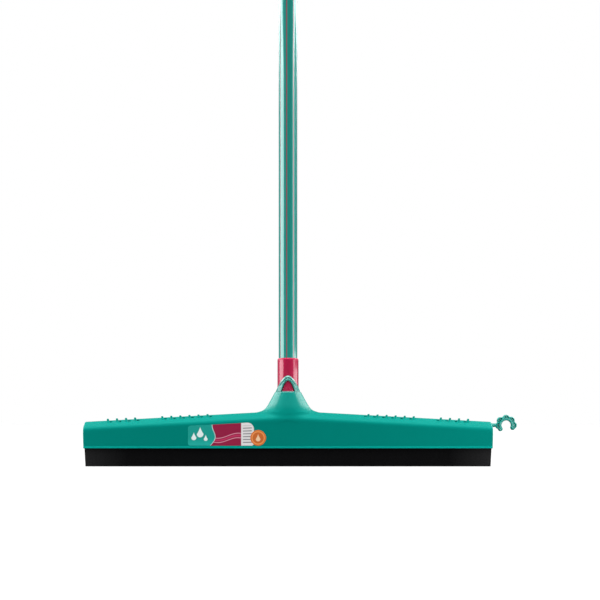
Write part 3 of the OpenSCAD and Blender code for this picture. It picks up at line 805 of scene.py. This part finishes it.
# Hook
def hook_reach(turn):
    """Outer radius of the hook: the ring, and where a lobe stands on it the lobe's far side."""
    reach = np.full_like(turn, HOOK_RING)
    for middle, out in LOBES:
        off = turn - middle
        inside = np.maximum(LOBE_R**2 - (out * np.sin(off)) ** 2, 0)
        far = np.where((np.abs(off) < 1) & (inside > 0), out * np.cos(off) + np.sqrt(inside), 0)
        reach = soft_max(reach, far, LOBE_SOFT)
    return reach


def build_hook():
    """Side hook: a closed section with rounded edges carried round the eye, its outer side on the
    lobes, with a dish sunk into the front of each lobe and the two tips rounded off. A tapered stem
    with a fillet at both ends joins it to the head."""
    half_t = (hook_high[1] - hook_low[1]) / 2
    centre_x, centre_z = hook_high[0] - HOOK_REACH, hook_high[2] - HOOK_REACH
    cap = np.linspace(0, 1, 9)[1:] * QUARTER
    body = np.linspace(*MOUTH, 200)
    turn = join([MOUTH[0] - TIP_R / HOOK_MID * np.sin(cap[::-1]), body,
                 MOUTH[1] + TIP_R / HOOK_MID * np.sin(cap)])
    tip = join([np.cos(cap[::-1]), np.ones(len(body)), np.cos(cap)])
    outer = hook_reach(np.clip(turn, *MOUTH))
    ends = np.minimum(ease(0, TIP_BLEND, turn - MOUTH[0]), ease(0, TIP_BLEND, MOUTH[1] - turn))
    flare = TIP_FLARE * (1 - ends) * tip
    inner_r = (HOOK_MID - (HOOK_MID - HOOK_EYE) * tip - flare)[:, None]
    outer_r = (HOOK_MID + (outer - HOOK_MID) * tip + flare)[:, None]

    arc = np.linspace(0, QUARTER, 6)
    fall, rise = 1 - np.cos(arc), 1 - np.sin(arc)
    face = np.linspace(0, 1, 30)[1:-1]
    e = HOOK_EDGE * tip[:, None]
    lift = half_t - HOOK_EDGE * (1 - tip[:, None])
    width = outer_r - inner_r
    across = join([
        e * fall, e + (width - 2 * e) * face, width - e * rise,
        width - e * fall, e + (width - 2 * e) * face[::-1], e * rise], axis=1)
    depth = join([
        -lift + e * rise, -lift * np.ones(len(face)), -lift + e * fall,
        lift - e * rise, lift * np.ones(len(face)), lift - e * fall], axis=1)
    r = inner_r + across
    x, z = r * np.cos(turn)[:, None], r * np.sin(turn)[:, None]
    dish = np.zeros_like(r)
    for middle, out in LOBES:
        away = np.hypot(x - out * np.cos(middle), z - out * np.sin(middle))
        dish = np.maximum(dish, ease(*DISH_WALL, away))
    dish *= ease(*DISH_INNER, r) * (depth < -lift + 0.01)
    ring = points_xyz(centre_x + x, depth + DISH_DEEP * dish, centre_z + z)
    head_piece("side_hook_ring", capped(ring) + end_walls(ring, 3), "side_hook", 40)

    s = np.linspace(0, 1, 24)[:, None]
    length = centre_x - 10.2 - HALF_LENGTH + 1.0
    radius = (STEM_R - STEM_TAPER * s + 0.7 * np.exp(-s / 0.09)
              + 0.35 * np.exp((s - 1) / 0.12))
    stem = points_xyz(HALF_LENGTH - 0.3 + length * s, radius * np.cos(circle(32)),
                      centre_z + radius * np.sin(circle(32)))
    head_piece("side_hook_stem", capped(stem, 0, -1), "side_hook", 40)


# Blades
def build_blade(name, node):
    """Foam blade: a tall section with rounded working edges, drawn along the head. Its free part
    swells past its seat, leans in at the ends towards the floor, and its last rows shrink a little,
    as a cut foam edge does."""
    low, high = node_box(node)
    seat = SKIRT_Z
    thick = (high[1] - low[1]) / 2 - BLADE_GAP
    loop = rounded([[-thick, low[2]], [thick, low[2]], [thick, seat], [thick, seat + 0.1],
                    [thick, high[2]], [-thick, high[2]], [-thick, seat + 0.1], [-thick, seat]],
                   [1.0, 1.0, 0, 0, 0.6, 0.6, 0, 0], steps=7)
    out = np.roll(loop, -1, axis=0) - np.roll(loop, 1, axis=0)
    out = np.stack([out[:, 1], -out[:, 0]], axis=1)
    out /= np.linalg.norm(out, axis=1, keepdims=True)
    cut = np.linspace(0, QUARTER, 6)
    even = np.linspace(-1, 1, 281)
    flat, last = np.zeros(len(even)), np.ones(len(cut))
    shrink, past = BLADE_CUT * (1 - np.cos(cut)), BLADE_CUT * np.sin(cut)
    inward = join([shrink[::-1], flat, shrink])[:, None]
    beyond = join([-past[::-1], flat, past])
    along = join([-last, even, last])
    y, z = loop[:, 0] - inward * out[:, 0], loop[:, 1] - inward * out[:, 1]
    free = np.clip(1 - z / seat, 0, 1)
    half = high[0] - BLADE_CUT - np.where(z > seat + 0.05, BLADE_SWELL, BLADE_LEAN * free)
    x = along[:, None] * half + beyond[:, None]
    sway = 0.05 * free * (np.sin(x / 19.0) + np.sin(x / 7.3 + 1.1))
    points = points_xyz(x, (low[1] + high[1]) / 2 + y + sway, z)
    blade = make_piece(name, capped(points) + end_walls(points, 7), FOAM, "head",
                       [node], crease=50)


# Socket and handle
def build_socket():
    """Socket sleeve turned from its outline, with a rounded mouth, and the two lugs that stand in
    the windows: each a low cushion on the sleeve inside a pointed arch."""
    guide, thread, drain = FILM_R + 0.1, 8.1, 3.0
    foot = insert_low[2]
    arc = np.radians(np.linspace(0, 60, 10))
    mouth = np.stack([SLEEVE_R - MOUTH_R * (1 - np.cos(arc)),
                      SLEEVE_Z + MOUTH_R * (np.sin(arc) - np.sin(arc[-1]))], axis=1)
    outline = rounded(
        [[SLEEVE_R, foot], *mouth, [guide, SLEEVE_Z - 0.2], [guide, LEDGE_Z],
         [thread, LEDGE_Z], [thread, foot + 2], [drain, foot + 2], [drain, foot]],
        [0.5, *np.zeros(len(mouth)), 0, 0.2, 0.3, 0.4, 0.3, 0.3])
    s = np.linspace(-1, 1, 61)
    half_w, height = WINDOW_HALF - LUG_GAP, WINDOW_H - LUG_GAP
    base = SILL_Z - SUNK
    rim_x = join([half_w * s, half_w * np.linspace(1, -1, 22)[1:-1]])
    rim_z = join([base + height * (1 - np.abs(s) ** WINDOW_CURVE), np.full(20, base)])
    c = np.array([0, 0.35, 0.6, 0.78, 0.86, 0.91, 0.95, 0.98, 1.0, 1.0])[:, None]
    r = SLEEVE_R + np.array([1.2, 1.2, 1.2, 1.19, 1.16, 1.08, 0.92, 0.68, 0.4, -0.4])[:, None]
    phi = np.arcsin(c * rim_x / (SLEEVE_R + LUG_PROUD))
    z = base + LUG_CENTRE + c * (rim_z - base - LUG_CENTRE)
    sheets = [sheet(revolve(outline), True, True)]
    for side in (-1, 1):
        lug = points_xyz(r * np.sin(phi), side * r * np.cos(phi), z)
        sheets += capped(lug, -1)
    make_piece("socket_sleeve", sheets, PINK, "head", ["socket_insert"])


def build_film():
    """Printed film turned from its outline: pressed thinner in the sleeve, full above it."""
    inner, tucked = FILM_R - FILM_T, FILM_R - FILM_TUCK
    free = [[FILM_R, z] for z in np.linspace(SLEEVE_Z + 10, CAP_Z, 24)]
    outline = np.array([[inner, TUBE_Z], [tucked, TUBE_Z], [tucked, SLEEVE_Z],
                        [FILM_R, SLEEVE_Z + FILM_EASE], *free, [inner, CAP_Z]])
    make_piece("printed_film", [sheet(revolve(outline, 128), True, True)], FILM, "handle_grip",
               ["handle_film"])


def build_plug():
    """Threaded plug: a thread of five millimetres a turn whose radius rises and falls along each
    line up the plug, then the flange that the tube stands on and the stub inside the tube."""
    sides, low, top = 72, plug_low[2], plug_high[2]
    turn = circle(sides)
    z = np.linspace(low, LEDGE_Z, 97)[:, None]
    wave = np.abs(((z - low) / THREAD_PITCH - turn / (2 * np.pi)) % 1 - 0.5) * 2
    thread = THREAD_CORE + THREAD_RISE * ease(0.25, 0.75, wave)
    thread = np.minimum(thread, 6.3 + 0.8 * (z - low))
    thread = THREAD_CORE + (thread - THREAD_CORE) * ease(LEDGE_Z, LEDGE_Z - THREAD_RUN, z)
    flange = tube_high[0]
    stub = flange - TUBE_T
    above = rounded([[THREAD_CORE, LEDGE_Z], [flange, LEDGE_Z], [flange, TUBE_Z], [stub, TUBE_Z],
                     [stub, top], [0, top]], [0, 0.3, 0.2, 0, 0.8, 0], closed=False)
    below = np.array([[0, low], [5.9, low]])
    points = join([revolve(below, sides), around(thread, turn, z), revolve(above, sides)])
    make_piece("thread_plug", capped(points), BLACK, "handle_core",
               ["threaded_plug"])


def build_cap():
    """Hanging cap: a turned collar, and on it an eye, whose section runs from the hole to the
    outline and back on the other side, flat in the middle and rounded at both edges."""
    cap_r, plug_r, hole, half_t = cap_high[0], 8.95, 4.0, 5.0
    eye_z, collar_z, low = cap_high[2] - cap_r, CAP_Z + 5, cap_low[2]
    collar = revolve(rounded([[0, low], [plug_r, low], [plug_r, CAP_Z], [cap_r, CAP_Z],
                              [cap_r, collar_z], [0, collar_z + 0.2]],
                             [0, 0.8, 0, 0.3, 1.2, 0], closed=False))
    turn = circle(144)[:, None]
    cos, sin = np.cos(turn), np.sin(turn)
    foot = eye_z - collar_z + 0.6
    straight = np.minimum(cap_r / np.maximum(np.abs(cos), 1e-6),
                          foot / np.maximum(np.abs(sin), 1e-6))
    reach = np.where(sin >= 0, cap_r, straight)
    c = (1 - np.cos(np.linspace(0, np.pi, 33))) / 2
    r = hole + (reach - hole) * c
    x, z = r * cos, r * sin
    wall = np.minimum(half_t, np.sqrt(np.maximum(cap_r**2 - x**2, 0)))
    edge, bore = 1.8, 0.7
    far, near = np.clip(reach - r, 0, edge), np.clip(r - hole, 0, bore)
    fall = np.where(sin >= 0, edge - np.sqrt(edge**2 - (edge - far) ** 2), 0)
    y = np.maximum(wall - fall - (bore - np.sqrt(bore**2 - (bore - near) ** 2)), 0.05)
    front, rear = points_xyz(x, -y, eye_z + z), points_xyz(x, y, eye_z + z)
    ring = join([front, rear[:, ::-1]], axis=1)
    make_piece("hanging_cap", [*capped(collar), sheet(ring, True, True)], PINK, "handle_grip",
               ["hang_cap"])


# Stickers
def sticker(name, sheets, ground, layers):
    """A thin print on the front face. At each point of its mesh inks are laid over a ground, one
    after the other, each by a cover of 0 to 1 that follows from x and z in millimetres."""
    mesh = make_piece(name, sheets, PRINT, "head", crease=80).data
    place = np.empty(len(mesh.vertices) * 3)
    mesh.vertices.foreach_get("co", place)
    x, _, z = place.reshape(-1, 3).T / MM
    tone = np.array(linear(*ground))
    for ink, cover in layers(x, z):
        tone = tone + (np.array(linear(*ink)) - tone) * cover[:, None]
    paint = mesh.color_attributes.new("print", "FLOAT_COLOR", "POINT")
    paint.data.foreach_set("color", tone.ravel())


def drop_gap(x, z, size):
    """Gap to a water drop: a disc below, drawn out to a point above."""
    tall = 2.2
    lift = np.clip(z / size, -1, tall)
    half = size * np.where(lift < 0, np.sqrt(np.maximum(1 - lift**2, 0)),
                           np.maximum(1 - lift / tall, 0) ** 1.35)
    return np.where((z > -size) & (z < tall * size), np.abs(x) - half, size)


def label_height(x):
    """Height of the label, whose top follows the fall of the crown."""
    return crown(x) - LABEL_UNDER - LABEL_FOOT


def label_print(x, z):
    """The label's inks over a teal ground: three drops at the left, a crimson wave across the
    middle, and a white panel with grey rules at the right end."""
    soft, panel = 0.14, 54.5
    u, v = x - LABEL[0], (z - LABEL_FOOT) / label_height(x) * LABEL_H
    wave = 23 + 3.2 * np.sin(v / 4.6) + 0.25 * v
    crimson = ease(-soft, soft, u - wave) * ease(soft, -soft, u - panel)
    band = np.abs(v - 7.4 - 2.2 * np.sin(u / 6.5))
    drops = [((228, 240, 239), ease(soft, -soft, drop_gap(u - at, v - up, size)))
             for at, up, size in ((6.0, 8.4, 2.6), (12.5, 12.0, 3.4), (18.2, 6.8, 2.0))]
    white = ease(-soft, soft, u - panel)
    rule = np.abs((v + 0.8) % 2.6 - 1.3)
    ruled = (ease(0.5, 0.3, rule) * ease(panel + 1.7, panel + 2, u) * ease(65.6, 65.3, u)
             * ease(2.0, 2.3, v) * ease(18.6, 18.3, v))
    return [((20, 172, 160), ease(9, 0, v)),
            ((196, 228, 226), ease(0.75, 0.45, np.abs(u - wave))),
            ((142, 10, 58), crimson),
            ((186, 44, 88), crimson * ease(1.0, 0.7, band)),
            ((212, 140, 162), crimson * ease(0.5, 0.25, np.abs(band - 2.1))),
            *drops, ((222, 220, 221), white), ((112, 111, 115), white * ruled)]


def seal_print(x, z):
    """The seal's inks over an orange ground: a paler ring, a deeper disc and a drop in it."""
    u, v = x - SEAL[0], z - SEAL[1]
    away = np.hypot(u, v)
    return [((232, 164, 104), ease(0.45, 0.2, np.abs(away - 6.3))),
            ((196, 100, 40), ease(5.6, 5.3, away)),
            ((238, 200, 160), ease(0.12, -0.12, drop_gap(u, v + 1.2, 2.4)))]


def build_label():
    """Label: a thin sheet on the front face, a grid whose last rows turn back to it. Its corners
    are rounded, the upper right one more: its height shrinks there as a circle's does."""
    left, right = LABEL
    bow = LABEL_CORNER * (1 - np.cos(np.linspace(0, QUARTER, 12)[:-1]))
    x = join([left + bow, np.linspace(left + LABEL_CORNER, right - LABEL_CORNER, 251),
              (right - bow)[::-1]])[:, None]
    inward = np.clip(LABEL_CORNER - np.minimum(x - left, right - x), 0, LABEL_CORNER)
    bend = np.clip(LABEL_SWEEP - (right - x), 0, LABEL_SWEEP)
    trim = LABEL_CORNER - np.sqrt(LABEL_CORNER**2 - inward**2)
    trim_top = np.maximum(trim, LABEL_SWEEP - np.sqrt(LABEL_SWEEP**2 - bend**2))
    v = join([[0], np.linspace(0.006, 0.994, 121), [1]])
    z = LABEL_FOOT + trim + (label_height(x) - trim - trim_top) * v
    at_rim = np.zeros(z.shape, dtype=bool)
    at_rim[[0, -1]] = at_rim[:, [0, -1]] = True
    y = -HALF_DEPTH - np.where(at_rim, -0.4 * STICKER_T, STICKER_T)
    grid = points_xyz(x, y, z)
    rim = join([grid[0], grid[1:, -1], grid[-1, -2::-1], grid[-2:0:-1, 0]])
    sticker("front_label", [sheet(grid), fan(rim)], (2, 150, 138), label_print)


def build_seal():
    """Seal: a thin disc on the front face, rings of points whose last ones turn back to it."""
    turn = circle(120)
    r = join([np.linspace(0, SEAL_R - 0.15, 40), [SEAL_R - 0.05, SEAL_R, SEAL_R]])
    lift = join([np.ones(40), [0.8, 0.3, -0.4]])[:, None] * STICKER_T
    disc = points_xyz(SEAL[0] + r[:, None] * np.cos(turn), -HALF_DEPTH - lift - 0.02,
                      SEAL[1] + r[:, None] * np.sin(turn))
    sticker("round_seal", capped(disc, -1), (216, 112, 36), seal_print)


# Studio, in metres
FLOOR_HALF, FLOOR_Z, FLOOR_GLOW = 40, -0.0002, 0.81
STUDIO_DIM, BACKDROP, OVERHEAD = 0.15, 0.17, 6.7
# each lamp's name, place, aim, width and height, and power
LAMPS = (
    ("left_high", (-3.0, -0.55, 0.775), (0, 0, 0.28), (3.0, 1.45), 50),
    ("right_high", (2.9, -0.9, 0.9), (0, 0, 0.28), (1.5, 1.2), 11),
    ("right_low", (3.0, 0.0, 0.15), (0, 0, 0.1), (3.2, 0.28), 10.5),
    ("right_front", (0.45, -0.25, 0.03), (0.2, -0.02, 0.03), (0.4, 0.05), 0.65),
    ("left_front", (-0.4, -0.18, 0.03), (-0.21, -0.02, 0.03), (0.3, 0.05), 0.14),
    ("left_flank", (-6.15, 2.49, 4.54), (0, 0, 0.07), (12.0, 3.1), 590),
    ("right_flank", (6.15, 2.49, 4.54), (0, 0, 0.07), (12.0, 3.1), 620),
)


def build_floor():
    """Pale floor: it shows white to the camera and in reflections, and keeps the shadow through a
    share of plain diffuse."""
    made, tree, shader = material("pale_floor")
    place = put(tree, "ShaderNodeTexCoord")["Object"]
    tree.nodes.remove(shader)
    tone = blend(noise(place, 30.0, 3.0), (0.12, 0.12, 0.12, 1),
                 (0.126, 0.126, 0.126, 1))
    diffuse = grow("ShaderNodeBsdfDiffuse", {"Color": tone})[0]
    rays = put(tree, "ShaderNodeLightPath")
    seen = calc("MAXIMUM", rays["Is Camera Ray"],
                calc("MAXIMUM", rays["Is Glossy Ray"], rays["Is Transmission Ray"]))
    white = grow("ShaderNodeEmission", {"Color": (1, 1, 1, 1),
                                        "Strength": calc("MULTIPLY", seen, FLOOR_GLOW)})[0]
    total = grow("ShaderNodeAddShader", {0: diffuse, 1: white})[0]
    fill(tree.nodes["Material Output"], {"Surface": total})
    reach = np.linspace(-FLOOR_HALF, FLOOR_HALF, 9)
    x, y = np.meshgrid(reach, reach, indexing="ij")
    mesh = bpy.data.meshes.new("studio_floor")
    points, faces = sheet(points_xyz(x, y, FLOOR_Z))
    mesh.from_pydata(points.tolist(), [], faces[:, ::-1].tolist())
    mesh.materials.append(made)
    floor = bpy.data.objects.new("studio_floor", mesh)
    bpy.context.collection.objects.link(floor)


def build_world():
    """White for the camera. What lights the pieces and shows in their gloss is a dim studio, with a
    soft overhead light that leans to the front and a paler backdrop behind."""
    world = bpy.data.worlds.new("studio")
    world.use_nodes = True
    tree = world.node_tree
    rays = put(tree, "ShaderNodeLightPath")
    way = axes(tree, "Generated")
    behind = calc("MULTIPLY", span(way["Y"], -0.1, 0.35),
                  span(way["Z"], 0.75, 0.5))
    above = calc("MULTIPLY", span(way["Z"], 0.68, 0.92), span(way["Y"], 0.2, 0.0))
    level = calc("ADD", span(behind, 0.0, 1.0, STUDIO_DIM, BACKDROP),
                 calc("MULTIPLY", above, OVERHEAD))
    seen = calc("MAXIMUM", rays["Is Camera Ray"], rays["Is Transmission Ray"])
    strength = grow("ShaderNodeMix", {0: seen, 2: level, 3: 1.0}, data_type="FLOAT")[0]
    fill(tree.nodes["Background"], {"Strength": strength, "Color": (1, 1, 1, 1)})
    bpy.context.scene.world = world


def add_lamp(name, place, aim, size, power):
    """A soft rectangular lamp that looks at a point."""
    lamp = bpy.data.lights.new(name, "AREA")
    lamp.shape = "RECTANGLE"
    lamp.size, lamp.size_y = size
    lamp.energy = power
    holder = bpy.data.objects.new(name, lamp)
    bpy.context.collection.objects.link(holder)
    back = np.subtract(place, aim)
    back /= np.linalg.norm(back)
    side = np.cross([0, 0, 1], back)
    side /= np.linalg.norm(side)
    turn = np.eye(4)
    turn[:3] = np.stack([side, np.cross(back, side), back, place], axis=1)
    holder.matrix_world = Matrix(turn.tolist())


def build_camera():
    """Camera at the photograph's height and distance, level, with the head low in the picture."""
    lens = bpy.data.cameras.new("front_camera")
    lens.lens, lens.sensor_width = 66.0, 36.0
    lens.shift_x, lens.shift_y = 0.02, 0.2043
    camera = bpy.data.objects.new("front_camera", lens)
    camera.location = (0, -1.147, 0.045)
    camera.rotation_euler = (QUARTER, 0, 0)
    bpy.context.collection.objects.link(camera)
    bpy.context.scene.camera = camera


build_head()
build_hood()
build_teeth()
build_inside()
build_hook()
build_blade("front_foam", "front_blade")
build_blade("rear_foam", "rear_blade")
build_socket()
build_film()
build_plug()
build_cap()
build_label()
build_seal()

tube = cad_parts["handle_tube"]
tube.data.materials.clear()
tube.data.materials.append(STEEL)

build_floor()
build_world()
for lamp in LAMPS:
    add_lamp(*lamp)
build_camera()
bpy.context.scene.view_settings.view_transform = "Standard"
